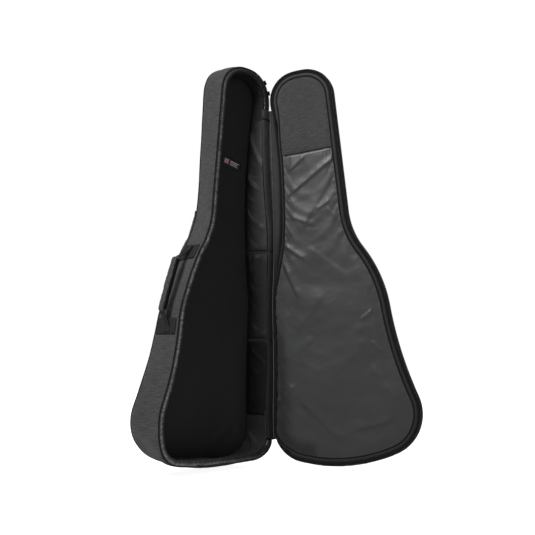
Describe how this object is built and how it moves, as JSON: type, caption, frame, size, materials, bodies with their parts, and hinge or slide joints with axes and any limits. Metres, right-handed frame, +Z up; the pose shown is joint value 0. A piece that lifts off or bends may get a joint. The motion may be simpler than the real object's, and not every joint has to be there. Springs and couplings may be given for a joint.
{
  "type": "padded guitar gig bag",
  "caption": "Padded bag shaped like an acoustic guitar, zipped clamshell with a side-hinged lid, side carry handle, back straps and front pocket, standing open.",
  "frame": {"origin": "centre of the bounding box in plan, on the floor the bag stands on, lid open as modelled", "axes": "+Z up along the lid hinge, +Y from the open side of the tray towards its back, +X from the handle side towards the hinge side"},
  "size_m": [0.6124, 0.479, 1.0861],
  "materials": {
    "heather_fabric": "woven melange polyester, matte",
    "foam_padding": "closed-cell padding, hidden",
    "tray_lining": "brushed nylon lining, low sheen",
    "quilted_lining": "padded nylon lining, low sheen",
    "lid_satin": "satin lining, soft sheen",
    "rim_satin": "satin over foam roll",
    "flange_cloth": "plain weave",
    "black_binding": "grosgrain binding",
    "zipper_tape": "zipper tape",
    "zipper_teeth": "nylon coil",
    "zinc_slider": "black painted zinc",
    "dark_webbing": "polypropylene webbing",
    "lock_plastic": "moulded acetal",
    "woven_label": "woven label, plain stripes"
  },
  "bodies": {
    "tray": {"back_foam": "foam_padding", "back_lining": "tray_lining", "back_outer_fabric": "heather_fabric", "back_seam_binding": "black_binding", "care_label": "woven_label", "gusset_foam": "foam_padding", "gusset_lining": "tray_lining", "gusset_outer_fabric": "heather_fabric", "handle_anchor_lower": "dark_webbing", "handle_anchor_upper": "dark_webbing", "handle_patch_lower": "dark_webbing", "handle_patch_upper": "dark_webbing", "hang_loop": "dark_webbing", "hinge_cord": "black_binding", "hinge_strip_tray": "heather_fabric", "rim_binding": "rim_satin", "side_pad_lower": "quilted_lining", "side_pad_middle": "quilted_lining", "side_pad_upper": "quilted_lining", "strap_tab_left": "dark_webbing", "strap_tab_right": "dark_webbing", "strap_yoke_patch": "heather_fabric", "tray_hinge_tape": "zipper_tape", "tray_zipper_tape": "zipper_tape", "tray_zipper_teeth": "zipper_teeth"},
    "lid": {"lid_outer_fabric": "heather_fabric", "lid_side_band": "heather_fabric", "lid_foam": "foam_padding", "lid_zipper_tape": "zipper_tape", "lid_hinge_tape": "zipper_tape", "lid_zipper_teeth": "zipper_teeth", "lid_flange": "flange_cloth", "lid_binding": "black_binding", "lid_lining": "lid_satin", "head_pad": "heather_fabric", "hinge_strip_lid": "heather_fabric", "pocket_front": "heather_fabric", "pocket_gusset": "heather_fabric", "pocket_zipper": "zipper_tape"},
    "carry_handle": {"handle_webbing": "dark_webbing", "handle_grip": "heather_fabric"},
    "upper_slider": {"zip_slider_upper": "zinc_slider"},
    "upper_pull": {"zip_pull_upper": "zinc_slider"},
    "lower_slider": {"zip_slider_lower": "zinc_slider"},
    "lower_pull": {"zip_pull_lower": "zinc_slider"},
    "pocket_slider_body": {"pocket_slider": "zinc_slider"},
    "pocket_pull_body": {"pocket_pull": "zinc_slider"},
    "strap_left": {"shoulder_strap_left": "heather_fabric", "strap_webbing_left": "dark_webbing", "ladder_lock_left": "lock_plastic"},
    "strap_right": {"shoulder_strap_right": "heather_fabric", "strap_webbing_right": "dark_webbing", "ladder_lock_right": "lock_plastic"}
  },
  "joints": [
    {"name": "lid_hinge", "type": "hinge", "parent": "tray", "child": "lid", "pos_m": [0.10423, 0.12745, 0.5235], "axis": [0, 0, 1], "range_deg": [-116.5, 12]},
    {"name": "handle_swing", "type": "hinge", "parent": "tray", "child": "carry_handle", "pos_m": [-0.20528, 0.16945, 0.48306], "axis": [0.34, 0, 0.9404], "range_deg": [-15, 15]},
    {"name": "upper_slider_travel", "type": "hinge", "parent": "tray", "child": "upper_slider", "pos_m": [0.02533, 0.12745, 1.00422], "axis": [0, -1, 0], "range_deg": [0, 38]},
    {"name": "upper_pull_lift", "type": "hinge", "parent": "upper_slider", "child": "upper_pull", "pos_m": [0.09036, 0.14215, 1.05418], "axis": [0.6092, 0, -0.793], "range_deg": [0, 60]},
    {"name": "lower_slider_travel", "type": "hinge", "parent": "tray", "child": "lower_slider", "pos_m": [0.02533, 0.12745, 1.00422], "axis": [0, -1, 0], "range_deg": [0, 10]},
    {"name": "lower_pull_lift", "type": "hinge", "parent": "lower_slider", "child": "lower_pull", "pos_m": [0.10434, 0.14215, 1.02618], "axis": [0.2678, 0, -0.9635], "range_deg": [0, 60]},
    {"name": "pocket_slider_travel", "type": "slide", "parent": "lid", "child": "pocket_slider_body", "axis": [-0.4424, 0.8873, -0.13], "range_m": [-0.095, 0.035]},
    {"name": "pocket_pull_lift", "type": "hinge", "parent": "pocket_slider_body", "child": "pocket_pull_body", "pos_m": [0.17702, 0.05149, 0.55558], "axis": [0.8949, 0.4462, 0], "range_deg": [0, 95]},
    {"name": "strap_left_swing", "type": "hinge", "parent": "tray", "child": "strap_left", "pos_m": [-0.15156, 0.22295, 0.42231], "axis": [-0.3418, 0.0448, -0.9387], "range_deg": [0, 100]},
    {"name": "strap_right_swing", "type": "hinge", "parent": "tray", "child": "strap_right", "pos_m": [0.02295, 0.22295, 0.39944], "axis": [-0.0884, -0.0448, 0.9951], "range_deg": [0, 100]}
  ]
}
